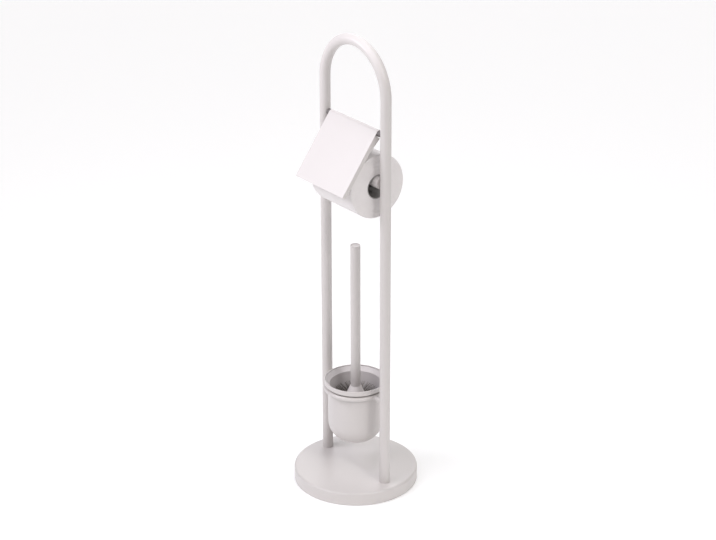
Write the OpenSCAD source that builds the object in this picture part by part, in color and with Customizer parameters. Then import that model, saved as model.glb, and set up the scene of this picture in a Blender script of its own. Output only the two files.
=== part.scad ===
// Free-standing toilet roll and brush stand: a round weighted base, one bent tube as the frame,
// a hinged cover flap over a paper roll on a sprung spindle, and a brush in a hanging cup.
// Millimetres. The origin is at the middle of the base, on the floor. +Z is up, +X runs from
// one leg to the other, and -Y is the front, where the flap hangs.

/* [Base] */
// How far the base reaches past the middle of each leg
base_margin = 25; // [22:1:45]
// Height of the base's top face above the floor
base_h = 22; // [20:0.5:30]
// Radius of the base's rounded top edge
base_edge_r = 3.5; // [2.5:0.5:5]
// Sheet thickness of the pressed base shell
base_sheet = 1.5; // [1:0.1:2]
// Height of the shell's lower rim above the floor
rim_lift = 0.8; // [0.5:0.1:1.5]
// Gap between the ballast disc and the shell's wall
ballast_gap = 5.5; // [3:0.5:7]
// Thickness of the foam pad that the stand rests on
pad_t = 3; // [2:0.5:4]
// Gap between the foam pad and the shell's wall
pad_gap = 1; // [0.5:0.5:3]

/* [Leg fixings] */
// Diameter of the screws that hold the legs
screw_d = 6; // [5:0.5:8]
// Length of the screws under their heads
screw_len = 32; // [28:1:34]
// Diameter of the screw heads
screw_head_d = 12; // [10:0.5:13]
// Height of the screw heads
screw_head_h = 3.3; // [2.5:0.1:4]
// Width of the drive socket in the screw heads
screw_socket_w = 4; // [3:0.5:5]
// Depth of the drive socket
screw_socket_depth = 2; // [1:0.5:2]
// Outer diameter of the washers
washer_d = 18; // [15:0.5:19]
// Thickness of the washers
washer_t = 1.5; // [1:0.1:2]
// Diameter of the recesses in the ballast for the screw heads
recess_d = 20; // [19.5:0.5:24]
// Depth of those recesses
recess_depth = 6; // [5:0.5:8]
// Length of the threaded plugs in the feet of the tube
plug_len = 22; // [21:1:30]
// Solid end left above the thread in each plug
plug_end = 2; // [1:0.5:3]

/* [Frame] */
// Overall height of the stand
stand_h = 752; // [640:1:850]
// Gap between each side of the flap and the leg
leg_room = 7.5; // [6:0.5:10]
// Outer diameter of the frame tube
tube_d = 17; // [16:0.5:19]
// Wall of the frame tube
tube_wall = 1.2; // [1:0.1:1.5]
// How far welded and seated ends reach into the tube past its wall
seat_depth = 0.8; // [0.5:0.1:1.5]

/* [Cover flap] */
// Distance from the top of the stand down to the flap's hinge
hinge_drop = 140; // [128:0.5:160]
// Diameter of the hinge rod
hinge_rod_d = 6; // [5:0.5:6.5]
// Outer diameter of the curl that goes round the hinge rod
curl_d = 11; // [10.5:0.1:12]
// Angle of the slot left open in the curl, from the sheet
curl_slot_angle = 62; // [50:1:80]
// How far each side of the flap stands out past a roll that sits in the middle
flap_side = 8.5; // [7:0.5:10]
// Length of the flap's sheet from the hinge axis to its free edge
flap_len = 111.7; // [95:0.1:114]
// Sheet thickness of the flap
flap_sheet = 1.2; // [1:0.1:1.5]
// Depth of the side flanges at the free edge
flange_depth = 7; // [5:0.5:8]
// Depth of the side flanges beside the hinge
lug_depth = 11.5; // [9:0.5:13]
// Distance over which the flanges narrow, from the hinge axis
lug_len = 34; // [26:1:45]
// Radius of the flanges' corners at the free edge
flange_corner_r = 4; // [2:0.5:5]
// Gap that the grip of its hinge leaves between the resting flap and the roll
flap_gap = 4.5; // [0.3:0.1:6]
// Length of each hinge bush inside the curl
bush_len = 10; // [6:1:16]
// Diameter of the bush's collar, which fills the room between flap and leg
bush_collar_d = 9.6; // [9:0.1:10.4]
// Gap between that collar and the leg
bush_leg_gap = 0.5; // [0.3:0.1:3]

/* [Roll spindle] */
// Distance from the flap's hinge down to the spindle's axis
spindle_drop = 78.7; // [74:0.1:92]
// Outer diameter of the spindle
spindle_d = 18.6; // [16:0.1:20]
// Wall of the spindle's sleeve
sleeve_wall = 1; // [0.8:0.1:1.2]
// Wall of the plunger that slides in the sleeve
plunger_wall = 1; // [0.8:0.1:1.2]
// Gap between each end of the spindle and the leg
spindle_end_gap = 1; // [0.6:0.1:2]
// Thickness of the flange on each end plug
end_flange_t = 1.5; // [1:0.1:2.5]
// Length of each end plug inside its tube
end_plug_len = 8; // [6:1:12]
// Diameter of the pins that turn in the legs
pin_d = 8; // [6:0.5:9]
// How far a pin reaches past the leg's wall
pin_reach = 2.3; // [1.5:0.1:3]
// Where the sleeve's open end stops, left of the middle
sleeve_end_x = 12; // [8:1:20]
// Where the plunger's inner end stops, right of the middle
plunger_end_x = 10; // [6:1:16]
// Wire diameter of the spindle's spring
wire_d = 1.2; // [0.8:0.1:1.4]
// Number of curls in the spring
spring_curls = 12; // [8:1:14]

/* [Paper roll] */
// Outer diameter of the paper roll
roll_d = 102.2; // [96:0.2:106]
// Width of the paper roll
roll_w = 101; // [90:1:112]
// How far the roll sits to the right of the middle
roll_shift = 4.5; // [-5:0.5:5]
// Diameter of the hole through the cardboard core
core_bore_d = 36.2; // [35:0.1:42]
// Wall of the cardboard core
core_wall = 1.2; // [0.8:0.1:2]
// Radius of the paper's edges
roll_edge_r = 2; // [0.5:0.1:3]

/* [Brush cup] */
// Height of the cup's rim above the floor
rim_z = 177.6; // [174:0.1:181]
// Height of the cup's underside above the floor
cup_foot_z = 70; // [62:0.5:76]
// Outer diameter of the cup's wider mouth
mouth_d = 100.4; // [92:0.1:108]
// Step from the cup's body out to its mouth, on each side
mouth_step = 5.8; // [5:0.1:6.5]
// Height of the mouth's band, from its lower edge up to the rim
mouth_h = 8.7; // [7:0.1:11]
// Slope of the shoulder between body and band, which hangs on the ring
shoulder_angle = 45; // [35:1:50]
// Radius of the band's lower edge
shoulder_r = 2; // [1.5:0.1:3.4]
// Wall of the cup
cup_wall = 1; // [0.8:0.1:1.4]
// Radius of the rolled bead on the rim
bead_r = 1; // [0.8:0.1:1.3]
// Wall of the removable liner
liner_wall = 1.2; // [0.8:0.1:1.8]
// How far the liner's flange stands out past the liner's body
liner_flange = 2.9; // [2:0.1:3.4]
// How far the top of the liner's widening lip sits below the cup's rim
liner_lip_drop = 1.8; // [1:0.1:3]
// Diameter of the ring's bar
ring_bar_d = 7; // [6:0.5:8]
// Gap between the cup's body and the ring
ring_gap = 0.1; // [0.1:0.05:0.4]
// Diameter of the arms that join the ring to the legs
arm_d = 6.4; // [5:0.1:6.6]

/* [Brush] */
// Distance between the handle's top and the paper roll above it
handle_room = 64.1; // [50:0.1:90]
// Outer diameter of the handle tube
handle_d = 16; // [14:0.5:18]
// Wall of the handle tube
handle_wall = 1; // [0.8:0.1:1.5]
// Height of the handle tube's lower end above the floor
handle_foot_z = 158; // [156:0.5:160]
// How far the end plug sits below the top of the handle
plug_inset = 0.9; // [0.3:0.1:2]
// Length of the handle's end plug
handle_plug_len = 8; // [5:1:14]
// Length of the threaded insert in the handle's lower end
insert_len = 18; // [17:1:26]
// Diameter of the threaded stud on the brush head
stud_d = 8; // [6:0.5:8]
// Length of that stud
stud_len = 24; // [20:1:26]
// Diameter of the collar under the handle
collar_d = 28; // [25:0.5:32]
// Height of the collar's straight part
collar_band = 5; // [4:0.5:6]
// Height of the collar's cone
collar_cone = 12; // [8:0.5:14]
// Depth of the socket in the collar that takes the handle
collar_socket = 7; // [4:0.5:9]
// Width of the collar's top edge round the handle
collar_lip = 0.7; // [0.5:0.1:2]
// Diameter of the brush head's core
brush_core_d = 17; // [14:0.5:18]
// Thickness of the core's flange under the collar
core_flange_t = 3; // [2:0.5:4]
// Wall of the sleeve that the bristles are set in
backing_wall = 1.5; // [1.2:0.1:2]
// Gap between the sides of the bristle head and the liner
brush_room = 5.9; // [4:0.1:9]
// Height of the topmost bristle tips above the foot of the collar
bristle_rise = 9; // [4:0.5:18]
// Number of rings of bristles
bristle_rings = 14; // [12:1:15]
// Number of bristles in each ring
bristles_per_ring = 28; // [24:1:30]
// Thickness of a bristle at its root
bristle_root_d = 1.1; // [0.8:0.05:1.1]
// Thickness of a bristle at its tip
bristle_tip_d = 0.8; // [0.6:0.05:1]

/* [Hidden] */
$fn = 96;

// Overrun of every cut past the face that it opens
over = 1;
// Radial clearance of a shaft that turns or slides in its bore
running_gap = 0.05;
// Clearance between curved faces of pieces that move past each other
touch_gap = 0.3;
// Radial clearance of a screw in a drilled hole
drill_gap = 0.3;

// Frame: the roll's width sets the flap's, and that sets the distance between the legs
flap_w = roll_w + 2 * flap_side;
leg_x = flap_w / 2 + leg_room + tube_d / 2;
tube_r = tube_d / 2;
tube_bore_r = tube_r - tube_wall;
arch_z = stand_h - tube_r - leg_x;
leg_face_x = leg_x - tube_r;
seat_x = leg_face_x + tube_wall + seat_depth;
hinge_z = stand_h - hinge_drop;
spindle_z = hinge_z - spindle_drop;

// Base, from the floor up
base_d = 2 * (leg_x + base_margin);
shell_inner_z = base_h - base_sheet;
pad_d = base_d - 2 * (base_sheet + pad_gap);
ballast_d = base_d - 2 * (base_sheet + ballast_gap);
recess_z = pad_t + recess_depth;
screw_seat_z = recess_z - washer_t;

// Paper roll, hanging on the spindle by its core
roll_z = spindle_z - (core_bore_d / 2 - spindle_d / 2 - touch_gap);
roll_left_x = roll_shift - roll_w / 2;
core_od = core_bore_d + 2 * core_wall;

// Cover flap, a little off the roll: its angle below the horizontal follows from that
curl_r = curl_d / 2;
curl_bore_r = curl_r - flap_sheet;
flap_lean = roll_d / 2 + flap_gap - curl_bore_r;
flap_angle = acos(flap_lean / (hinge_z - roll_z));
bush_bore_r = hinge_rod_d / 2 + running_gap;
bush_collar_t = leg_room - bush_leg_gap;

// Spindle
spindle_end_x = leg_face_x - spindle_end_gap;
tube_end_x = spindle_end_x - end_flange_t;
sleeve_bore_r = spindle_d / 2 - sleeve_wall;
plunger_r = sleeve_bore_r - running_gap;
plunger_bore_r = plunger_r - plunger_wall;
pin_len = spindle_end_gap + tube_wall + pin_reach;
spring_from_x = plunger_end_x + touch_gap;
spring_to_x = tube_end_x - end_plug_len - touch_gap;
spring_r = sleeve_bore_r - touch_gap - wire_d / 2;

// Cup and ring, from the rim down
band_z = rim_z - mouth_h;
mouth_r = mouth_d / 2;
cup_r = mouth_r - mouth_step;
shoulder_z = band_z - (mouth_step - shoulder_r) * tan(shoulder_angle);
// Radius of the cup's rounded foot, as a share of its body's radius
cup_foot_share = 0.766;
cup_foot_r = cup_foot_share * cup_r;
ring_bar_r = ring_bar_d / 2;
ring_r = cup_r + ring_gap + ring_bar_r;
ring_z = shoulder_z
    + ((ring_r - cup_r) * sin(shoulder_angle) - ring_bar_r - touch_gap) / cos(shoulder_angle);
liner_r = cup_r - cup_wall - touch_gap;
liner_floor_z = cup_foot_z + cup_wall + touch_gap;
liner_foot_r = cup_foot_r - cup_wall - touch_gap;
liner_flange_r = liner_r + liner_flange;
liner_lip_r = mouth_r - cup_wall - bead_r;
// Share of the bead's radius that its middle lies inside the mouth's outer face
bead_in_share = 0.8;

// Brush
collar_foot_z = handle_foot_z + collar_socket - collar_band - collar_cone;
head_foot_z = liner_floor_z + liner_wall + touch_gap;
handle_bore_r = handle_d / 2 - handle_wall;
backing_r = brush_core_d / 2 + touch_gap + backing_wall;
backing_top_z = collar_foot_z - core_flange_t;
brush_r = liner_r - liner_wall - brush_room;
// Radius of the head's rounded foot, as a share of the head's radius
brush_foot_share = 0.75;
brush_foot_r = brush_foot_share * brush_r;
bristle_top_z = collar_foot_z + bristle_rise;
handle_top_z = roll_z - roll_d / 2 - handle_room;
// Heights of the core's foot and of the lowest roots, as shares of the head's radius
core_foot_share = 0.33;
root_low_share = 0.42;
// Slope of the lowest bristles, and how soon the slope rises from ring to ring
fan_low_angle = -78;
fan_rise_share = 0.62;
// Turn of each ring's strands about their own axes against the ring below
strand_roll_angle = 85;
// Flat sides of the backing sleeve: each bristle stands on one of its own
backing_sides = 2 * bristles_per_ring;

// Colours
coat = [0.90, 0.885, 0.87];
steel = [0.72, 0.72, 0.73];
iron = [0.30, 0.30, 0.31];
foam = [0.22, 0.22, 0.23];
nylon = [0.86, 0.86, 0.86];
grey_nylon = [0.16, 0.16, 0.17];
paper = [0.93, 0.91, 0.90];
card = [0.66, 0.56, 0.46];
bristle_grey = [0.20, 0.19, 0.18];

// Turns a shape that stands on Z so that it lies along +X
module along_x() {
    rotate([0, 90, 0]) children();
}

// Puts a shape on both legs
module on_both_legs() {
    for (side = [-1, 1]) translate([side * leg_x, 0, 0]) children();
}

// Mirrors a shape made at the right leg to the left one as well
module both_sides() {
    children();
    mirror([1, 0, 0]) children();
}

// Half outline of a vessel or disc: radius r between two heights, its lower outer edge rounded
module foot_outline(r, edge_r, z0, z1) {
    difference() {
        translate([0, z0]) square([r, z1 - z0]);
        translate([r - edge_r, z0]) difference() {
            translate([0, -over]) square([edge_r + over, edge_r + over]);
            translate([0, edge_r]) circle(r = edge_r);
        }
    }
}

// Half outline of a disc whose upper outer edge is rounded
module top_outline(r, edge_r, z0, z1) {
    mirror([0, 1]) foot_outline(r, edge_r, -z1, -z0);
}

// Legs and arch of the frame as one round bar of radius r
module bent_bar(r, foot_over) {
    on_both_legs() translate([0, 0, base_h - foot_over]) {
        cylinder(h = arch_z - base_h + foot_over, r = r);
    }
    translate([0, 0, arch_z]) rotate([90, 0, 0]) {
        rotate_extrude(angle = 180) translate([leg_x, 0]) circle(r = r);
    }
}

// Hole through the inner wall of both legs at height z
module inner_wall_hole(r, z) {
    both_sides() translate([leg_face_x - over, 0, z]) along_x() {
        cylinder(h = tube_r + over, r = r);
    }
}

module base_shell() {
    color(coat) difference() {
        rotate_extrude() top_outline(base_d / 2, base_edge_r, rim_lift, base_h);
        rotate_extrude() {
            top_outline(base_d / 2 - base_sheet, base_edge_r - base_sheet, 0, shell_inner_z);
        }
        on_both_legs() cylinder(h = base_h + over, r = screw_d / 2 + drill_gap);
    }
}

module base_weight() {
    color(iron) difference() {
        translate([0, 0, pad_t]) cylinder(h = shell_inner_z - pad_t, d = ballast_d);
        on_both_legs() {
            translate([0, 0, pad_t - over]) cylinder(h = recess_depth + over, d = recess_d);
            cylinder(h = base_h, r = screw_d / 2 + drill_gap);
        }
    }
}

module base_pad() {
    color(foam) cylinder(h = pad_t, d = pad_d);
}

module leg_screws() {
    color(steel) on_both_legs() difference() {
        union() {
            translate([0, 0, screw_seat_z - screw_head_h]) {
                cylinder(h = screw_head_h, d = screw_head_d);
            }
            translate([0, 0, screw_seat_z]) cylinder(h = screw_len, d = screw_d);
        }
        translate([0, 0, screw_seat_z - screw_head_h - over]) {
            cylinder(h = screw_socket_depth + over, d = screw_socket_w, $fn = 6);
        }
    }
}

module leg_washers() {
    color(steel) on_both_legs() translate([0, 0, screw_seat_z]) difference() {
        cylinder(h = washer_t, d = washer_d);
        translate([0, 0, -over]) cylinder(h = washer_t + 2 * over, r = screw_d / 2 + drill_gap);
    }
}

module leg_plugs() {
    color(steel) on_both_legs() translate([0, 0, base_h]) difference() {
        cylinder(h = plug_len, r = tube_bore_r - running_gap);
        translate([0, 0, -over]) {
            cylinder(h = plug_len - plug_end + over, r = screw_d / 2 + running_gap);
        }
    }
}

module frame_tube() {
    color(coat) difference() {
        bent_bar(tube_r, 0);
        bent_bar(tube_bore_r, over);
        inner_wall_hole(hinge_rod_d / 2 + running_gap, hinge_z);
        inner_wall_hole(pin_d / 2 + running_gap, spindle_z);
        inner_wall_hole(arm_d / 2 + running_gap, ring_z);
    }
}

module hinge_rod() {
    color(coat) translate([-seat_x, 0, hinge_z]) along_x() {
        cylinder(h = 2 * seat_x, d = hinge_rod_d);
    }
}

// Places a flap that was drawn level, with its hinge on X and its sheet towards -Y
module at_flap_rest() {
    translate([0, 0, hinge_z]) rotate([flap_angle, 0, 0]) children();
}

// Section of the flap across the hinge: first axis towards the free edge, second outwards
module flap_section() {
    slot_far = 2 * curl_d;
    difference() {
        circle(r = curl_r);
        circle(r = curl_bore_r);
        polygon([[0, 0], [0, slot_far],
                 slot_far * [sin(curl_slot_angle), cos(curl_slot_angle)]]);
    }
    translate([0, curl_bore_r]) square([flap_len, flap_sheet]);
}

// Outline of a side flange: deep beside the hinge, narrower at the free edge
module flange_outline() {
    difference() {
        polygon([
            [curl_r + touch_gap, curl_bore_r + flap_sheet / 2],
            [curl_r + touch_gap, curl_r - lug_depth],
            [lug_len, curl_r - flange_depth],
            [flap_len, curl_r - flange_depth],
            [flap_len, curl_bore_r + flap_sheet / 2]
        ]);
        translate([flap_len - flange_corner_r, curl_r - flange_depth]) difference() {
            translate([0, -over]) square([flange_corner_r + over, flange_corner_r + over]);
            translate([0, flange_corner_r]) circle(r = flange_corner_r);
        }
    }
}

// Extrudes a section of the flap over a width w along X, centred at x
module across_flap(x, w) {
    translate([x + w / 2, 0, 0]) rotate([0, 0, -90]) rotate([90, 0, 0]) {
        linear_extrude(height = w) children();
    }
}

module cover_flap() {
    color(coat) at_flap_rest() {
        across_flap(0, flap_w) flap_section();
        for (side = [-1, 1]) {
            across_flap(side * (flap_w - flap_sheet) / 2, flap_sheet) flange_outline();
        }
    }
}

module flap_bushes() {
    color(grey_nylon) both_sides() translate([0, 0, hinge_z]) along_x() difference() {
        union() {
            translate([0, 0, flap_w / 2 - bush_len]) {
                cylinder(h = bush_len + over, r = curl_bore_r - running_gap);
            }
            translate([0, 0, flap_w / 2]) cylinder(h = bush_collar_t, d = bush_collar_d);
        }
        translate([0, 0, flap_w / 2 - bush_len - over]) {
            cylinder(h = bush_len + bush_collar_t + 2 * over, r = bush_bore_r);
        }
    }
}

module spindle_sleeve() {
    color(coat) translate([-sleeve_end_x, 0, spindle_z]) along_x() difference() {
        cylinder(h = tube_end_x + sleeve_end_x, d = spindle_d);
        translate([0, 0, -over]) {
            cylinder(h = tube_end_x + sleeve_end_x + 2 * over, r = sleeve_bore_r);
        }
    }
}

// End plug with its flange and pin, drawn at the right end, for a tube of the given bore
module end_plug(bore_r, flange_d) {
    translate([0, 0, spindle_z]) along_x() {
        translate([0, 0, tube_end_x - end_plug_len]) {
            cylinder(h = end_plug_len + end_flange_t / 2, r = bore_r - running_gap);
        }
        translate([0, 0, tube_end_x]) cylinder(h = end_flange_t, d = flange_d);
        translate([0, 0, spindle_end_x - end_flange_t / 2]) {
            cylinder(h = pin_len + end_flange_t / 2, d = pin_d);
        }
    }
}

module sleeve_plug() {
    color(nylon) end_plug(sleeve_bore_r, spindle_d);
}

module spindle_plunger() {
    color(steel) translate([-tube_end_x, 0, spindle_z]) along_x() difference() {
        cylinder(h = tube_end_x + plunger_end_x, r = plunger_r);
        translate([0, 0, -over]) {
            cylinder(h = tube_end_x + plunger_end_x + 2 * over, r = plunger_bore_r);
        }
    }
}

module plunger_plug() {
    color(nylon) mirror([1, 0, 0]) end_plug(plunger_bore_r, spindle_d);
}

// Spring: one unbroken wire swept along a helix about X
curl_steps = 8;
wire_sides = 6;
spring_rings = spring_curls * curl_steps;
spring_pitch = (spring_to_x - spring_from_x - wire_d) / spring_curls;

function spring_turn(i) = 360 * i / curl_steps;
function spring_x(i) = spring_from_x + wire_d / 2 + spring_pitch * i / curl_steps;
function spring_out(i) = [0, cos(spring_turn(i)), sin(spring_turn(i))];
function spring_centre(i) = [spring_x(i), 0, spindle_z] + spring_r * spring_out(i);
function spring_point(i, k) =
    let (a = 360 * k / wire_sides)
    spring_centre(i) + wire_d / 2 * (cos(a) * spring_out(i) + [sin(a), 0, 0]);

spring_points = [for (i = [0:spring_rings]) for (k = [0:wire_sides - 1]) spring_point(i, k)];
spring_sides = [
    for (i = [0:spring_rings - 1]) for (k = [0:wire_sides - 1])
        let (a = i * wire_sides + k, b = i * wire_sides + (k + 1) % wire_sides)
        for (face = [[a, a + wire_sides, b], [b, a + wire_sides, b + wire_sides]]) face
];
spring_ends = [
    for (k = [1:wire_sides - 2]) for (face = [
        [0, k, k + 1],
        [spring_rings * wire_sides, spring_rings * wire_sides + k + 1,
         spring_rings * wire_sides + k]
    ]) face
];

module spindle_spring() {
    color(steel) polyhedron(points = spring_points, faces = concat(spring_sides, spring_ends));
}

// Least gap between neighbouring curls of the spring, measured on the points of its centre line
spring_gaps = [
    for (i = [0:spring_rings]) for (j = [0:spring_rings])
        if (j - i >= curl_steps / 2) norm(spring_centre(i) - spring_centre(j)) - wire_d
];
echo(least_spring_gap = min(spring_gaps));

module roll_core() {
    color(card) translate([roll_left_x, 0, roll_z]) along_x() difference() {
        cylinder(h = roll_w, d = core_od);
        translate([0, 0, -over]) cylinder(h = roll_w + 2 * over, d = core_bore_d);
    }
}

module paper_roll() {
    color(paper) translate([roll_left_x, 0, roll_z]) along_x() rotate_extrude() {
        difference() {
            intersection() {
                foot_outline(roll_d / 2, roll_edge_r, 0, roll_w);
                top_outline(roll_d / 2, roll_edge_r, 0, roll_w);
            }
            translate([-over, -over]) {
                square([core_od / 2 + running_gap + over, roll_w + 2 * over]);
            }
        }
    }
}

module cup_ring() {
    color(coat) translate([0, 0, ring_z]) {
        rotate_extrude() translate([ring_r, 0]) circle(r = ring_bar_r);
        both_sides() translate([ring_r, 0, 0]) along_x() {
            cylinder(h = seat_x - ring_r, d = arm_d);
        }
    }
}

// Height of the shoulder's inner face at radius r
function shoulder_inner_z(r) =
    shoulder_z + (r - cup_r) * tan(shoulder_angle) + cup_wall / cos(shoulder_angle);

// Half outline of the slope between body and band, from radius r0 at z0 to radius r1 at z1
module shoulder_outline(r0, z0, r1, z1) {
    polygon([[0, z0], [r0, z0], [r1, z1], [r1, z1 + over], [0, z1 + over]]);
}

module cup_shell() {
    inner_r = cup_r - cup_wall;
    inner_band_z = band_z + cup_wall;
    inner_band_r = cup_r + (inner_band_z - shoulder_inner_z(cup_r)) / tan(shoulder_angle);
    color(coat) rotate_extrude() {
        difference() {
            union() {
                foot_outline(cup_r, cup_foot_r, cup_foot_z, shoulder_z + over);
                shoulder_outline(cup_r, shoulder_z, mouth_r - shoulder_r, band_z);
                foot_outline(mouth_r, shoulder_r, band_z, rim_z - bead_r);
            }
            foot_outline(inner_r, cup_foot_r - cup_wall, cup_foot_z + cup_wall, rim_z);
            shoulder_outline(inner_r, shoulder_inner_z(inner_r), inner_band_r, inner_band_z);
            foot_outline(mouth_r - cup_wall, shoulder_r - cup_wall, inner_band_z, rim_z + over);
        }
        translate([mouth_r - bead_in_share * bead_r, rim_z - bead_r]) circle(r = bead_r);
    }
}

module cup_liner() {
    flange_z = shoulder_inner_z(liner_flange_r) + running_gap;
    bore_r = liner_r - liner_wall;
    lip_foot_z = flange_z + liner_wall / 4;
    lip_z = rim_z - liner_lip_drop;
    color(nylon) rotate_extrude() difference() {
        union() {
            foot_outline(liner_r, liner_foot_r, liner_floor_z, flange_z + liner_wall / 2);
            translate([0, flange_z]) square([liner_flange_r, liner_wall]);
            polygon([[bore_r, lip_foot_z], [liner_r + liner_wall, lip_foot_z],
                     [liner_lip_r, lip_z], [liner_lip_r - liner_wall, lip_z]]);
        }
        foot_outline(bore_r, liner_foot_r - liner_wall, liner_floor_z + liner_wall,
                     flange_z + liner_wall + over);
    }
}

module brush_handle() {
    color(coat) translate([0, 0, handle_foot_z]) difference() {
        cylinder(h = handle_top_z - handle_foot_z, d = handle_d);
        translate([0, 0, -over]) {
            cylinder(h = handle_top_z - handle_foot_z + 2 * over, r = handle_bore_r);
        }
    }
}

module handle_plug() {
    color(coat) translate([0, 0, handle_top_z - plug_inset - handle_plug_len]) {
        cylinder(h = handle_plug_len, r = handle_bore_r - running_gap);
    }
}

module handle_insert() {
    color(steel) translate([0, 0, handle_foot_z]) difference() {
        cylinder(h = insert_len, r = handle_bore_r - running_gap);
        translate([0, 0, -over]) {
            cylinder(h = insert_len + 2 * over, r = stud_d / 2 + running_gap);
        }
    }
}

module brush_collar() {
    color(nylon) translate([0, 0, collar_foot_z]) difference() {
        union() {
            cylinder(h = collar_band, d = collar_d);
            translate([0, 0, collar_band]) {
                cylinder(h = collar_cone, d1 = collar_d, d2 = handle_d + 2 * collar_lip);
            }
        }
        translate([0, 0, handle_foot_z - collar_foot_z]) {
            cylinder(h = collar_socket + over, r = handle_d / 2 + running_gap);
        }
        translate([0, 0, -over]) {
            cylinder(h = collar_band + collar_cone, r = stud_d / 2 + drill_gap);
        }
    }
}

module brush_core() {
    core_foot_z = head_foot_z + core_foot_share * brush_r;
    color(nylon) {
        translate([0, 0, core_foot_z]) {
            cylinder(h = backing_top_z - core_foot_z + core_flange_t / 2, d = brush_core_d);
        }
        translate([0, 0, backing_top_z]) cylinder(h = core_flange_t, r = backing_r);
        translate([0, 0, backing_top_z + core_flange_t / 2]) {
            cylinder(h = core_flange_t / 2 + stud_len, d = stud_d);
        }
    }
}

// Bristles: they fan out from the backing sleeve, up at the top and down at the bottom
foot_arc_x = brush_r - brush_foot_r;
foot_arc_z = head_foot_z + brush_foot_r;
root_low_z = head_foot_z + root_low_share * brush_r;
root_high_z = backing_top_z - 2 * bristle_root_d;
fan_high_angle = atan((bristle_top_z - root_high_z) / (brush_r - backing_r));

function ring_share(i) = i / (bristle_rings - 1);
function root_z(i) = root_low_z + (root_high_z - root_low_z) * ring_share(i);
function fan_angle(i) =
    fan_low_angle + (fan_high_angle - fan_low_angle) * pow(ring_share(i), fan_rise_share);

// Length of a bristle from its root to the trimmed outline: a cylinder with a rounded foot
function reach_to_side(e) = (brush_r - backing_r) / cos(e);
function reach_to_foot(e, x, z) =
    let (b = x * cos(e) + z * sin(e), c = x * x + z * z - brush_foot_r * brush_foot_r)
    sqrt(b * b - c) - b;
function bristle_len(e, z) =
    z + reach_to_side(e) * sin(e) > foot_arc_z
        ? reach_to_side(e)
        : reach_to_foot(e, backing_r - foot_arc_x, z - foot_arc_z);

module bristle(turn, z, e, roll, len) {
    root_depth = backing_wall / 2 / cos(e);
    rotate([0, 0, turn]) translate([backing_r, 0, z]) rotate([0, 90 - e, 0]) rotate([0, 0, roll]) {
        translate([0, 0, -root_depth]) {
            cylinder(h = len + root_depth, d1 = bristle_root_d, d2 = bristle_tip_d, $fn = 3);
        }
    }
}

module backing_sleeve(foot_z, top_z) {
    half_side = 180 / backing_sides;
    translate([0, 0, foot_z]) rotate([0, 0, half_side]) difference() {
        cylinder(h = top_z - foot_z, r = backing_r / cos(half_side), $fn = backing_sides);
        translate([0, 0, -over]) {
            cylinder(h = top_z - foot_z + 2 * over, r = brush_core_d / 2 + touch_gap,
                     $fn = backing_sides);
        }
    }
}

module bristles() {
    color(bristle_grey) translate([0, 0, head_foot_z]) {
        resize([2 * brush_r, 2 * brush_r, bristle_top_z - head_foot_z]) {
            translate([0, 0, -head_foot_z]) union() {
                backing_sleeve(root_low_z - 4 * bristle_root_d, backing_top_z - touch_gap);
                for (i = [0:bristle_rings - 1]) for (k = [0:bristles_per_ring - 1]) {
                    turn = 360 * (k + (i % 2) / 2) / bristles_per_ring;
                    e = fan_angle(i);
                    bristle(turn, root_z(i), e, strand_roll_angle * i,
                            bristle_len(e, root_z(i)));
                }
            }
        }
    }
}

base_shell();
base_weight();
base_pad();
leg_screws();
leg_washers();
leg_plugs();
frame_tube();
hinge_rod();
cover_flap();
flap_bushes();
spindle_sleeve();
sleeve_plug();
spindle_plunger();
plunger_plug();
spindle_spring();
roll_core();
paper_roll();
cup_ring();
cup_shell();
cup_liner();
brush_handle();
handle_plug();
handle_insert();
brush_collar();
brush_core();
bristles();
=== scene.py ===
# %% [markdown]
# # A toilet roll and brush stand, dressed around its CAD frame
# The stand is powder-coated steel: a weighted round base, one bent tube, a hinged cover flap, a paper roll
# on a sprung spindle, and a brush in a cup that hangs in a ring. The rigid pieces come from the CAD model,
# which is already exact, so they only get finishes here. The paper and the bristles are soft, and they are
# made again as real sheets and fibres. Everything is in metres, in the CAD's own frame: the origin is on
# the floor under the middle of the base, +Z is up, +X runs from leg to leg, and -Y is the front.

# %% Load the CAD model as a fixed frame
import math
import random

import bpy
from mathutils import Matrix, Vector


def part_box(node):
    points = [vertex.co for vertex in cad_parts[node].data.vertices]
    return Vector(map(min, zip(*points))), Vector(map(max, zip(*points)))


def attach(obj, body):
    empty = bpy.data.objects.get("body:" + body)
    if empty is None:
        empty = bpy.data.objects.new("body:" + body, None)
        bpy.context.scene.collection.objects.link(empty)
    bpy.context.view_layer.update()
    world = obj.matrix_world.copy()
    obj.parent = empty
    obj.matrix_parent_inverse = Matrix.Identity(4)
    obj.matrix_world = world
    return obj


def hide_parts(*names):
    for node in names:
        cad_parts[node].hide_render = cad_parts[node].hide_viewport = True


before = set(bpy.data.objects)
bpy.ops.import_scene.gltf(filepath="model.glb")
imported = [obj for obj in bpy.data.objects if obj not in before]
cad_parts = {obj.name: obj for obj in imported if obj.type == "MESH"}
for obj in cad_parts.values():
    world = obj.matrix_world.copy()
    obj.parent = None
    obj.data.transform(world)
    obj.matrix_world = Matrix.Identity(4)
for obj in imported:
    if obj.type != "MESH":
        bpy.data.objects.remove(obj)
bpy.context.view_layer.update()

# %% [markdown]
# ## Shader sums in plain Python
# Blender's materials are graphs of nodes. Wiring them by hand in code is long, so one small class holds an
# output socket and lets it take part in Python sums: `1 - mask * 0.5` then adds its own Math nodes. A
# second class holds one material and has one method that makes any other node from its type, its settings
# and the values of its sockets. Numbers that stay the same all over a surface are set straight on the
# shader, and never pass through a node.

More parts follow.
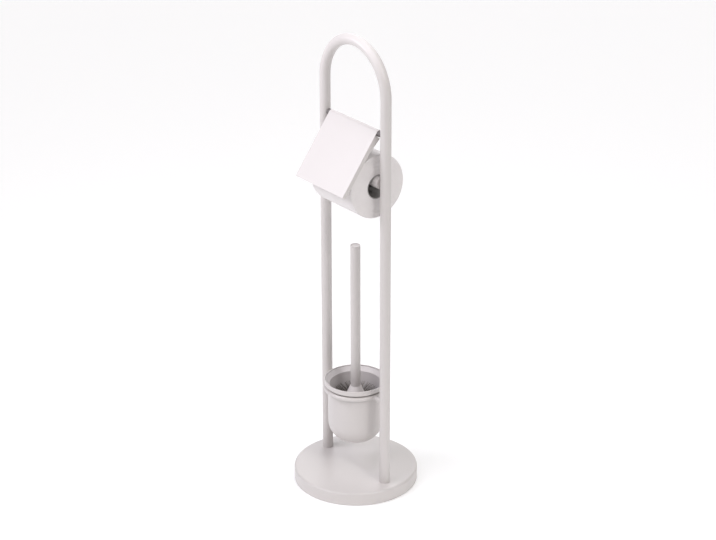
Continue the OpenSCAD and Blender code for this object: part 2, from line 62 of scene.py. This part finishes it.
# %% Wire: a socket that can be added, multiplied and compared
class Wire:
    """An output socket of a material's node tree that takes part in sums."""

    def __init__(self, finish, socket):
        self.finish = finish
        self.socket = socket

    def math(self, operation, *values):
        """The result of a Math node on these values, each a Wire or a number."""
        return self.finish.node("Math", {"operation": operation}, dict(enumerate(values)))["Value"]

    def __add__(self, other):
        return self.math("ADD", self, other)

    __radd__ = __add__

    def __sub__(self, other):
        return self.math("SUBTRACT", self, other)

    def __rsub__(self, other):
        return self.math("SUBTRACT", other, self)

    def __mul__(self, other):
        return self.math("MULTIPLY", self, other)

    __rmul__ = __mul__

    def __gt__(self, other):
        return self.math("GREATER_THAN", self, other)

    def sine(self):
        return self.math("SINE", self)

    def power(self, exponent):
        return self.math("POWER", self, exponent)


# %% Finish: one material and the one method that makes its nodes
class Finish:
    """A material around one Principled shader, whose nodes come from the method node."""

    def __init__(self, name, roughness, **fixed):
        self.material = bpy.data.materials.new(name)
        self.material.use_nodes = True
        self.tree = self.material.node_tree
        self.tree.nodes.clear()
        self.shader = self.tree.nodes.new("ShaderNodeBsdfPrincipled")
        output = self.tree.nodes.new("ShaderNodeOutputMaterial")
        self.tree.links.new(self.shader.outputs["BSDF"], output.inputs["Surface"])
        self.shader.inputs["Roughness"].default_value = roughness
        for socket, value in fixed.items():
            self.shader.inputs[socket.replace("_", " ")].default_value = value

    def node(self, kind, settings, inputs):
        """Makes a node, sets it, then fills its sockets. Returns its outputs by name, as Wires."""
        made = self.tree.nodes.new("ShaderNode" + kind)
        for key, value in settings.items():
            if key == "stops":
                self.set_stops(made.color_ramp, value)
            else:
                setattr(made, key, value)
        for key, value in inputs.items():
            self.plug(made.inputs[key], value)
        return {socket.name: Wire(self, socket) for socket in made.outputs if socket.enabled}

    def plug(self, socket, value):
        """Links a Wire to a socket, or sets the socket to a fixed value."""
        if isinstance(value, Wire):
            self.tree.links.new(value.socket, socket)
        else:
            socket.default_value = value

    @staticmethod
    def set_stops(ramp, stops):
        """Gives a colour ramp these (position, colour) stops."""
        while len(ramp.elements) < len(stops):
            ramp.elements.new(1.0)
        for element, (position, colour) in zip(ramp.elements, stops):
            element.position = position
            element.color = (*colour, 1.0)

    def place(self):
        """Where a point lies on its own piece, in metres."""
        return self.node("TexCoord", {}, {})["Object"]

    def noise(self, size, detail=2.0, roughness=0.5, stretch=(1, 1, 1)):
        """Smooth noise from 0 to 1 whose lumps are about that size in metres, stretched along X, Y or Z."""
        scale = tuple(1 / s for s in stretch)
        at = self.node("VectorMath", {"operation": "MULTIPLY"}, {0: self.place(), 1: scale})["Vector"]
        return self.node("TexNoise", {}, {
            "Vector": at, "Scale": 1 / size, "Detail": detail, "Roughness": roughness})["Fac"]

    def blend(self, factor, low, high):
        """A colour between two colours or colour Wires."""
        return self.node("Mix", {"data_type": "RGBA"}, {
            "Factor": factor, 6: (*low, 1) if isinstance(low, tuple) else low,
            7: (*high, 1) if isinstance(high, tuple) else high})["Result"]

    def dress(self, colour=None, roughness=None, height=None, depth=0.0):
        """Wires a colour, a roughness and a height in metres-deep relief to the shader."""
        if colour is not None:
            self.plug(self.shader.inputs["Base Color"], (*colour, 1) if isinstance(colour, tuple) else colour)
        if roughness is not None:
            self.plug(self.shader.inputs["Roughness"], roughness)
        if height is not None:
            normal = self.node("Bump", {}, {"Strength": 1.0, "Distance": depth, "Height": height})["Normal"]
            self.plug(self.shader.inputs["Normal"], normal)
        return self.material


# %% [markdown]
# ## The camera
# The photograph was taken from above the front right, with a long lens from about three metres. The
# camera's place and direction were found by matching known points of the stand, such as the ends of the
# legs and the base's edge, with where they lie in the picture. A long lens keeps the legs nearly parallel,
# as the photograph shows them.

# %% Camera
camera_place = Vector((2.40926, -1.87030, 1.73148))
look_along = Vector((-0.72032, 0.56073, -0.40832)).normalized()
camera_roll = 0.0017
focal_pixels, picture_width = 2132.9, 716
sensor_millimetres = 36.0
farthest_seen = 100.0

view_right = look_along.cross(Vector((0, 0, 1))).normalized()
view_up = view_right.cross(look_along)
turned = Matrix.Rotation(camera_roll, 3, look_along)
axes = Matrix((turned @ view_right, turned @ view_up, -look_along)).transposed()
camera = bpy.data.objects.new("camera", bpy.data.cameras.new("camera"))
camera.data.sensor_width = sensor_millimetres
camera.data.lens = sensor_millimetres * focal_pixels / picture_width
camera.data.clip_end = farthest_seen
camera.matrix_world = Matrix.Translation(camera_place) @ axes.to_4x4()
bpy.context.scene.collection.objects.link(camera)
bpy.context.scene.camera = camera
print("lens:", round(camera.data.lens, 2), "mm")

# %% [markdown]
# ## Floor and light
# A product picture like this one is taken on a white sweep that is lit from below as well, so that hardly
# any shadow is left on it. A wide disc that glows a little stands in for the sweep. The lamps were found by
# trying: each one was rendered alone, and their strengths were then chosen so that their sum comes close to
# the photograph's tones. Four suns, three of them wide, light the stand and the whole floor alike. Two
# square soft boxes hang near it, one at the left in front of the flap and one straight over the arch: they
# make flap and arch the brightest parts, as there.

# %% Colours as they look on screen
bpy.context.scene.view_settings.view_transform = "Standard"


def linear(*levels):
    """A linear colour from screen levels of 0 to 255."""
    shares = [level / 255 for level in levels]
    return tuple(s / 12.92 if s <= 0.04045 else ((s + 0.055) / 1.055) ** 2.4 for s in shares)


# %% Floor
FLOOR_RADIUS = 40.0
FLOOR_CORNERS = 96
FLOOR_WHITE = (0.93, 0.93, 0.93)
FLOOR_GLOW = 0.15

floor_mesh = bpy.data.meshes.new("floor")
floor_turns = [math.tau * i / FLOOR_CORNERS for i in range(FLOOR_CORNERS)]
floor_rim = [(FLOOR_RADIUS * math.cos(turn), FLOOR_RADIUS * math.sin(turn), 0) for turn in floor_turns]
floor_mesh.from_pydata(floor_rim, [], [list(range(FLOOR_CORNERS))])
floor = bpy.data.objects.new("floor", floor_mesh)
bpy.context.scene.collection.objects.link(floor)
sweep = Finish("white_sweep", 0.9, Emission_Color=(1, 1, 1, 1), Emission_Strength=FLOOR_GLOW)
floor_mesh.materials.append(sweep.dress(colour=FLOOR_WHITE))

# %% Sky
SKY_STRENGTH = 0.25

sky = bpy.data.worlds.new("studio")
bpy.context.scene.world = sky
sky.use_nodes = True
sky.node_tree.nodes["Background"].inputs["Color"].default_value = (1, 1, 1, 1)
sky.node_tree.nodes["Background"].inputs["Strength"].default_value = SKY_STRENGTH


# %% Suns and soft boxes
FLAP_PLACE = Vector((0, 0, 0.6))


def hang(name, kind, towards, strength, colour):
    """A lamp of this kind that shines from the direction towards."""
    light = bpy.data.lights.new(name, kind)
    light.energy = strength
    light.color = colour
    lamp = bpy.data.objects.new(name, light)
    lamp.rotation_euler = Vector(towards).to_track_quat("Z", "Y").to_euler()
    bpy.context.scene.collection.objects.link(lamp)
    return lamp


def soft_sun(name, towards, strength, spread, colour=(1, 1, 1)):
    """A sun with an apparent width of spread degrees."""
    hang(name, "SUN", towards, strength, colour).data.angle = math.radians(spread)


def soft_box(name, place, watts, width, colour=(1, 1, 1)):
    """A square lamp at a place, turned to the flap, which the camera doesn't see."""
    lamp = hang(name, "AREA", Vector(place) - FLAP_PLACE, watts, colour)
    lamp.location = place
    lamp.data.size = width
    lamp.visible_camera = False


soft_sun("back_left_sun", (-0.60, 0.70, 0.45), 0.86, 50, (0.98, 0.98, 1.0))
soft_sun("right_sun", (0.70, 0.0, 0.80), 0.72, 50, (1.0, 0.96, 0.92))
soft_sun("low_right_sun", (0.77, 0.0, 0.64), 0.48, 9)
soft_sun("front_sun", (-0.05, -0.95, 0.90), 1.05, 45, (0.98, 0.95, 1.0))
soft_box("left_box", (-0.42, -0.60, 0.95), 3.1, 0.3, (0.93, 0.92, 1.0))
soft_box("top_box", (0.0, 0.0, 1.35), 3.0, 0.6, (0.94, 0.95, 1.0))

# %% [markdown]
# ## Powder coat
# Every seen metal piece has one warm off-white powder coat. Powder coat is a plastic powder that melts on
# the hot metal, so it is satin, a little thicker than paint, and never quite flat: it has soft waves about
# a millimetre across, called orange peel, and a much finer grain. Both are relief, so they go into the Bump
# node, and a slow drift of roughness and colour keeps large plain faces from looking computed.

# %% Powder coat
COAT = linear(206, 201, 199)


def powder_coat():
    """The stand's satin coat, with orange peel, grain and a slow drift of tone."""
    coat = Finish("powder_coat", 0.5, Specular_IOR_Level=0.6)
    peel = coat.noise(0.0013, detail=1.0)
    grain = coat.noise(0.00025)
    drift = coat.noise(0.06, detail=3.0)
    darker = tuple(c * 0.975 for c in COAT)
    tone = coat.blend(drift, darker, COAT)
    rough = 0.33 + 0.05 * coat.noise(0.009) + 0.03 * grain
    return coat.dress(colour=tone, roughness=rough, height=peel + 0.2 * grain, depth=0.00003)


def paint(material, *names):
    """Puts a material on carried-over CAD nodes, in every slot they have."""
    for name in names:
        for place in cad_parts[name].material_slots:
            place.material = material
    print(material.name, "->", ", ".join(names))


paint(powder_coat(), "base_shell", "frame_tube", "hinge_rod", "cover_flap", "cup_ring",
      "cup_shell", "brush_handle", "handle_plug", "spindle_sleeve")

# %% [markdown]
# ## Moulded plastic
# The bushes, the spindle's end plugs, the collar, the brush's core and the cup's liner are moulded plastic.
# A mould gives plastic a fine even spark texture and a slight sheen, and the light sinks in a little way,
# which softens it. The sheen comes from a low roughness with fine grain on top. Collar and liner are a
# shade paler than the coat. The hinge bushes are dark grey only so that the gaps at the hinge's ends read
# dark: that darkness is shade, so their colour is painted shade.

# %% Moulded plastic
def moulded(name, colour, rough):
    """Plastic with a fine mould texture."""
    plastic = Finish(name, rough)
    spark = plastic.noise(0.0004)
    flow = plastic.noise(0.02, stretch=(1, 1, 3))
    darker = tuple(c * 0.96 for c in colour)
    tone = plastic.blend(flow, darker, colour)
    return plastic.dress(colour=tone, roughness=rough - 0.05 + 0.1 * spark, height=spark, depth=0.00002)


paint(moulded("pale_plastic", COAT, 0.42), "sleeve_plug", "plunger_plug")
paint(moulded("collar_plastic", linear(220, 215, 214), 0.42), "brush_collar")
paint(moulded("liner_plastic", linear(211, 206, 206), 0.45), "cup_liner")
# Painted shade: the bushes' dark grey stands in for the shade in the gaps between the flap and the legs.
paint(moulded("bush_painted_shade", linear(104, 99, 98), 0.5), "flap_bushes")
paint(moulded("core_plastic", linear(60, 58, 58), 0.5), "brush_core")

# %% [markdown]
# ## Zinc, iron and foam
# The fixings inside are zinc-plated steel, the ballast is raw cast iron and the foot is foam rubber. They
# show only when the stand is lifted or the spindle is taken out, and they still get their own finish: drawn
# lines round a turned part, a pitted casting, and open cells in the foam.

# %% Zinc-plated steel
def zinc_plate():
    """Dull bright steel with faint rings from turning."""
    zinc = Finish("zinc_plate", 0.32, Metallic=1.0)
    rings = zinc.noise(0.0006, stretch=(1, 20, 20))
    cloud = zinc.noise(0.004, detail=3.0)
    tone = zinc.blend(cloud, linear(196, 198, 203), linear(214, 214, 210))
    return zinc.dress(colour=tone, roughness=0.26 + 0.16 * cloud, height=rings, depth=0.00001)


paint(zinc_plate(), "leg_screws", "leg_washers", "leg_plugs", "spindle_plunger", "spindle_spring",
      "handle_insert")


# %% Cast iron
def cast_iron():
    """A grey sand casting, thinly varnished."""
    iron = Finish("cast_iron", 0.6, Metallic=0.6)
    sand = iron.noise(0.0009, detail=4.0, roughness=0.7)
    patch = iron.noise(0.02, detail=4.0)
    tone = iron.blend(patch, linear(58, 58, 60), linear(86, 84, 82))
    return iron.dress(colour=tone, roughness=0.5 + 0.25 * sand, height=sand, depth=0.0003)


# %% Foam rubber
def foam_rubber():
    """Closed-cell foam: a skin of tiny bubbles."""
    foam = Finish("foam_rubber", 0.85)
    cells = foam.node("TexVoronoi", {}, {"Vector": foam.place(), "Scale": 1 / 0.0011})["Distance"]
    tone = foam.blend(cells, linear(44, 44, 46), linear(66, 66, 68))
    return foam.dress(colour=tone, roughness=0.78 + 0.14 * cells, height=cells, depth=0.0002)


paint(cast_iron(), "base_weight")
paint(foam_rubber(), "base_pad")


# %% [markdown]
# ## Building meshes from rings
# The paper roll, the fibres and their sleeve are all made of rings of points, each joined to the next ring.
# One helper turns a list of rings into faces, and one makes the finished piece: it gives it a material and a
# body to ride on.

# %% Mesh helpers
SHARP_FROM = math.radians(40)


def join_rings(rings, faces, first, around, loop=False):
    """Adds faces between rings of points from index first on, and back to the first ring if they loop."""
    for ring in range(rings if loop else rings - 1):
        low = first + ring * around
        high = first + (ring + 1) % rings * around
        for i in range(around):
            j = (i + 1) % around
            faces.append((low + i, low + j, high + j, high + i))


def make_piece(name, points, faces, material, body):
    """A shaded mesh object that rides on a body and wears the given material."""
    mesh = bpy.data.meshes.new(name)
    mesh.from_pydata(points, [], faces)
    mesh.materials.append(material)
    mesh.shade_smooth()
    mesh.set_sharp_from_angle(angle=SHARP_FROM)
    piece = bpy.data.objects.new(name, mesh)
    bpy.context.scene.collection.objects.link(piece)
    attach(piece, body)
    print(name, "has", len(mesh.vertices), "points and", len(mesh.polygons), "faces")
    return piece


# %% [markdown]
# ## The paper roll
# A toilet roll is one long sheet wound on a card core. Seen from the side its edge is a spiral, so the
# radius grows by one sheet's thickness on each turn and drops back where the sheet ends: that small step is
# the free edge, and it lies at the back here. The cut ends show the turns as fine uneven rings, and the
# outer edge is slightly rounded where the saw and the packet have pressed it. A plain cylinder has none of
# this, so the roll is built point by point.

# %% Sizes of the roll, from its CAD node
roll_low, roll_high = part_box("paper_roll")
core_low, core_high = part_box("roll_core")
ROLL_X = (roll_low.x + roll_high.x) / 2
ROLL_Z = (roll_low.z + roll_high.z) / 2
ROLL_RADIUS = (roll_high.z - roll_low.z) / 2
ROLL_HALF = (roll_high.x - roll_low.x) / 2
CARD_GAP = 0.0001
BORE_RADIUS = (core_high.z - core_low.z) / 2 + CARD_GAP
SHEET_STEP = 0.0004
FREE_EDGE_ANGLE = math.radians(40)
EDGE_RADIUS = 0.0020
RING_WIDTH, RING_DEPTH, WAVE_DEPTH = 0.0021, 0.00012, 0.00006
POINTS_AROUND, END_RINGS, EDGE_STEPS, SIDE_STEPS = 288, 64, 6, 12
print("roll radius", round(ROLL_RADIUS, 4), "half width", round(ROLL_HALF, 4))


# %% Shape of the roll
def roll_point(radius, turn, x):
    """A point on the roll at this distance from its axis, this far round and this far from its middle."""
    return (ROLL_X + x, -radius * math.cos(turn), ROLL_Z + radius * math.sin(turn))


def end_relief(radius, turn, seed):
    """How far the paper stands in from the cut end: fine rings, and slow waves that depend on the seed."""
    rings = math.sin(math.tau * (radius / RING_WIDTH) - turn)
    waves = math.sin(3 * turn + seed + radius * 400) + math.sin(5 * turn - 2 * seed + radius * 900)
    return RING_DEPTH * (1 - rings) + WAVE_DEPTH * (2 - waves)


def roll_outline():
    """Steps out over one cut end, round its edge, along the roll, round the other edge and back in."""
    outline = [("end", i / (END_RINGS - 1), -1) for i in range(END_RINGS)]
    outline += [("edge", i / EDGE_STEPS * math.pi / 2, -1) for i in range(1, EDGE_STEPS + 1)]
    outline += [("side", i / SIDE_STEPS, 0) for i in range(1, SIDE_STEPS)]
    outline += [("edge", math.pi / 2 * (1 - i / EDGE_STEPS), 1) for i in range(EDGE_STEPS + 1)]
    outline += [("end", 1 - i / (END_RINGS - 1), 1) for i in range(1, END_RINGS)]
    return outline


def outline_place(kind, value, side, outer, turn):
    """How far from the axis and from the middle a step of the outline lies, with outer as the radius."""
    seed = 1.3 * side
    if kind == "end":
        radius = BORE_RADIUS + (outer - EDGE_RADIUS - BORE_RADIUS) * value
        return radius, side * (ROLL_HALF - end_relief(radius, turn, seed))
    if kind == "edge":
        radius = outer - EDGE_RADIUS * (1 - math.sin(value))
        inset = end_relief(outer - EDGE_RADIUS, turn, seed) * (1 - value / (math.pi / 2))
        return radius, side * (ROLL_HALF - inset - EDGE_RADIUS * (1 - math.cos(value)))
    return outer, (ROLL_HALF - EDGE_RADIUS) * (2 * value - 1)


def wound_paper_mesh():
    """The roll's points, ring by ring along its outline, and its faces."""
    outline = roll_outline()
    points, faces = [], []
    for step in outline:
        for k in range(POINTS_AROUND):
            wind = k / (POINTS_AROUND - 1)
            turn = FREE_EDGE_ANGLE + math.pi + math.tau * wind
            outer = ROLL_RADIUS - SHEET_STEP * (1 - wind)
            radius, x = outline_place(*step, outer, turn)
            points.append(roll_point(radius, turn, x))
    join_rings(len(outline), faces, 0, POINTS_AROUND, loop=True)
    return points, faces


# %% Directions on the roll
def round_and_along(finish):
    """How far round the roll a point lies, in radians, and where it lies along the axis, in metres."""
    place = finish.node("SeparateXYZ", {}, {"Vector": finish.place()})
    height = place["Z"] - ROLL_Z
    return height.math("ARCTAN2", height, place["Y"]), place["X"]


# %% Tissue paper
DOTS_AROUND, DOT_PITCH = 68.0, 0.0048


def tissue():
    """Soft matt paper with an embossed quilting and fine fibre fuzz."""
    paper = Finish("tissue", 0.92, Sheen_Weight=0.25, Sheen_Roughness=0.6)
    turn, along = round_and_along(paper)
    dots = (turn * DOTS_AROUND).sine() * (along * (math.tau / DOT_PITCH)).sine()
    fuzz = paper.noise(0.0007, detail=4.0, roughness=0.65)
    soft = paper.noise(0.012, detail=3.0)
    tone = paper.blend(soft, linear(219, 214, 214), linear(228, 224, 223))
    return paper.dress(colour=tone, height=0.5 * dots + fuzz, depth=0.00012)


wound_points, wound_faces = wound_paper_mesh()
wound_paper = make_piece("wound_paper", wound_points, wound_faces, tissue(), "roll")
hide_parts("paper_roll")


# %% Grey card for the core
SEAM_TWIST, SEAM_FROM = 62.0, 0.995


def grey_card():
    """Recycled card wound in a spiral, with its butt seam showing as a faint line."""
    card = Finish("grey_card", 0.9)
    fleck = card.noise(0.0012, detail=4.0, roughness=0.7)
    turn, along = round_and_along(card)
    seam = (turn + along * SEAM_TWIST).sine().power(2.0) > SEAM_FROM
    tone = card.blend(fleck, linear(150, 147, 146), linear(180, 177, 175))
    return card.dress(colour=tone, height=fleck - 0.8 * seam, depth=0.0001)


paint(grey_card(), "roll_core")

# %% [markdown]
# ## The brush head
# A brush head has small tufts of nylon fibre, set in rows round a core and trimmed to a rounded outline.
# Each tuft spreads from its hole like a fan, and the fibres bend a little with use. The CAD keeps a few
# hundred stiff strands. Here each tuft gets its own fibres, each a thin three-sided tube that bends and
# tapers, cut off at the same outline. Random draws come from one seeded generator, so that the head is the
# same each time.

# %% Sizes of the head, its outline from its CAD node
head_low, head_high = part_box("bristles")
TRIM_GAP = 0.0003
HEAD_RADIUS = (head_high.x - head_low.x) / 2 - TRIM_GAP
HEAD_FOOT = head_low.z + TRIM_GAP
HEAD_TOP = head_high.z - TRIM_GAP
FOOT_ARC = 0.027
SLEEVE_RADIUS = 0.0103
LOWEST_ROOT, HIGHEST_ROOT = 0.0870, 0.1428
ROOT_DEPTH = 0.0008
TUFT_ROWS, TUFTS_AROUND, FIBRES_A_TUFT = 16, 26, 9
ROW_GAP = (HIGHEST_ROOT - LOWEST_ROOT) / (TUFT_ROWS - 1)
LOWEST_SLOPE = math.radians(-80)
HIGHEST_SLOPE = math.atan2(HEAD_TOP - 0.0004 - HIGHEST_ROOT, HEAD_RADIUS - SLEEVE_RADIUS)
print("head radius", round(HEAD_RADIUS, 4), "foot", round(HEAD_FOOT, 4), "top", round(HEAD_TOP, 4))


# %% Trimming the fibres to the head's outline
def inside_head(radius, z):
    """Whether a point at this distance from the axis and this height is inside the trimmed outline."""
    if radius > HEAD_RADIUS or z > HEAD_TOP or z < HEAD_FOOT:
        return False
    over_r, under_z = radius - (HEAD_RADIUS - FOOT_ARC), (HEAD_FOOT + FOOT_ARC) - z
    if over_r > 0 and under_z > 0:
        return math.hypot(over_r, under_z) <= FOOT_ARC
    return True


# %% One fibre
FIBRE_RADIUS, FIBRE_SIDES, FIBRE_STEPS = 0.00021, 3, 3
TIP_SHARE = 0.6
LONGEST_FIBRE, TRIM_STEP, SAG_LENGTH = 0.06, 0.0006, 0.03


def fibre_path(turn, root_z, slope, side_lean, sag, kept):
    """Points along one fibre, from inside the sleeve up to the kept share of its way to the outline."""
    outwards = Vector((math.cos(turn), math.sin(turn), 0))
    sideways = Vector((-math.sin(turn), math.cos(turn), 0))
    up = Vector((0, 0, 1))
    start = outwards * (SLEEVE_RADIUS - ROOT_DEPTH) + up * root_z
    along = (outwards * math.cos(slope) + up * math.sin(slope) + sideways * side_lean).normalized()

    def point_at(length):
        return start + along * length - up * sag * (length / SAG_LENGTH) ** 2

    length = 0.0
    while length < LONGEST_FIBRE:
        ahead = point_at(length + TRIM_STEP)
        if not inside_head(math.hypot(ahead.x, ahead.y), ahead.z):
            break
        length += TRIM_STEP
    return [point_at(length * kept * i / FIBRE_STEPS) for i in range(FIBRE_STEPS + 1)]


def fibre_along(path, points, faces):
    """Adds a tapered tube with closed ends along a path, and returns how many faces that took."""
    first, faces_before = len(points), len(faces)
    for i, centre in enumerate(path):
        ahead = path[min(i + 1, len(path) - 1)] - path[max(i - 1, 0)]
        side = ahead.cross(Vector((0, 0, 1)))
        side = side.normalized() if side.length > 1e-9 else Vector((1, 0, 0))
        other = side.cross(ahead).normalized()
        radius = FIBRE_RADIUS * (1 - (1 - TIP_SHARE) * i / (len(path) - 1))
        for k in range(FIBRE_SIDES):
            turn = math.tau * k / FIBRE_SIDES
            points.append(centre + side * (radius * math.cos(turn)) + other * (radius * math.sin(turn)))
    join_rings(len(path), faces, first, FIBRE_SIDES)
    last = first + (len(path) - 1) * FIBRE_SIDES
    faces.append(tuple(reversed(range(first, first + FIBRE_SIDES))))
    faces.append(tuple(range(last, last + FIBRE_SIDES)))
    return len(faces) - faces_before


# %% All the fibres
TURN_SPREAD, ROOT_SPREAD, SLOPE_SPREAD, LEAN_SPREAD = 0.04, 0.0005, 0.05, 0.07
SAG_RANGE, KEPT_RANGE = (-0.0005, 0.0012), (0.93, 1.0)
draw = random.Random(7)

fibre_points, fibre_faces, fibre_tones = [], [], []
for row in range(TUFT_ROWS):
    share = row / (TUFT_ROWS - 1)
    row_root = LOWEST_ROOT + (HIGHEST_ROOT - LOWEST_ROOT) * share
    row_slope = LOWEST_SLOPE + (HIGHEST_SLOPE - LOWEST_SLOPE) * share ** 0.6
    for tuft in range(TUFTS_AROUND):
        tuft_turn = math.tau * (tuft + 0.5 * (row % 2)) / TUFTS_AROUND
        for _ in range(FIBRES_A_TUFT):
            lean = draw.gauss(0, LEAN_SPREAD)
            slope = min(row_slope + draw.gauss(0, SLOPE_SPREAD), HIGHEST_SLOPE + 0.02)
            turn = tuft_turn + draw.uniform(-TURN_SPREAD, TURN_SPREAD)
            root = row_root + draw.uniform(-ROOT_SPREAD, ROOT_SPREAD)
            path = fibre_path(turn, root, slope, lean, draw.uniform(*SAG_RANGE), draw.uniform(*KEPT_RANGE))
            face_count = fibre_along(path, fibre_points, fibre_faces)
            fibre_tones += [draw.random() ** 2.2] * face_count
print("fibres:", TUFT_ROWS * TUFTS_AROUND * FIBRES_A_TUFT)


# %% Nylon fibre
def nylon_fibre():
    """Dark nylon with a pale fibre here and there."""
    fibre = Finish("nylon_fibre", 0.38)
    tone = fibre.node("Attribute", {"attribute_name": "fibre_tone"}, {})["Fac"]
    stops = [(0.0, linear(84, 78, 76)), (0.45, linear(128, 121, 117)), (1.0, linear(178, 170, 162))]
    colour = fibre.node("ValToRGB", {"stops": stops}, {"Fac": tone})["Color"]
    return fibre.dress(colour=colour, roughness=0.3 + 0.2 * tone)


brush_fibres = make_piece("brush_fibres", fibre_points, fibre_faces, nylon_fibre(), "brush")
tones = brush_fibres.data.attributes.new("fibre_tone", "FLOAT", "FACE")
tones.data.foreach_set("value", fibre_tones)
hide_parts("bristles")


# %% [markdown]
# ## The sleeve that holds the tufts
# Between the fibres a dark sleeve can be seen, with rows of round holes that hold the tufts. It is a turned
# shape with a shallow dimple under each tuft, so it is made as a grid of points whose radius dips at every
# hole.

# %% Tuft sleeve
SLEEVE_FOOT, SLEEVE_TOP, SLEEVE_BORE = 0.0836, 0.1446, 0.00885
SLEEVE_AROUND, SLEEVE_STEPS = 156, 96
DIMPLE_RADIUS, DIMPLE_DEPTH = 0.0009, 0.0005
TUFT_PITCH = math.tau / TUFTS_AROUND


def dimple(turn, z):
    """How far the sleeve dips at a place, because of the tuft nearest to it."""
    row = round((z - LOWEST_ROOT) / ROW_GAP)
    if not 0 <= row < TUFT_ROWS:
        return 0.0
    off = (turn - TUFT_PITCH * 0.5 * (row % 2) + TUFT_PITCH / 2) % TUFT_PITCH - TUFT_PITCH / 2
    away = math.hypot(off * SLEEVE_RADIUS, z - LOWEST_ROOT - row * ROW_GAP)
    return DIMPLE_DEPTH * max(0.0, 1 - (away / DIMPLE_RADIUS) ** 2)


def sleeve_mesh():
    """A pipe round the core with a dimple at each tuft and closed ends."""
    length = SLEEVE_TOP - SLEEVE_FOOT
    wall = [(SLEEVE_RADIUS, SLEEVE_FOOT + length * i / SLEEVE_STEPS) for i in range(SLEEVE_STEPS + 1)]
    outline = [(SLEEVE_BORE, SLEEVE_FOOT)] + wall + [(SLEEVE_BORE, SLEEVE_TOP)]
    points, faces = [], []
    for index, (radius, z) in enumerate(outline):
        for k in range(SLEEVE_AROUND):
            turn = math.tau * k / SLEEVE_AROUND
            r = radius - dimple(turn, z) if 1 < index < SLEEVE_STEPS else radius
            points.append((r * math.cos(turn), r * math.sin(turn), z))
    join_rings(len(outline), faces, 0, SLEEVE_AROUND, loop=True)
    return points, faces


sleeve_points, sleeve_faces = sleeve_mesh()
sleeve_plastic = moulded("sleeve_plastic", linear(84, 80, 78), 0.5)
tuft_sleeve = make_piece("tuft_sleeve", sleeve_points, sleeve_faces, sleeve_plastic, "brush")
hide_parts("bristles")
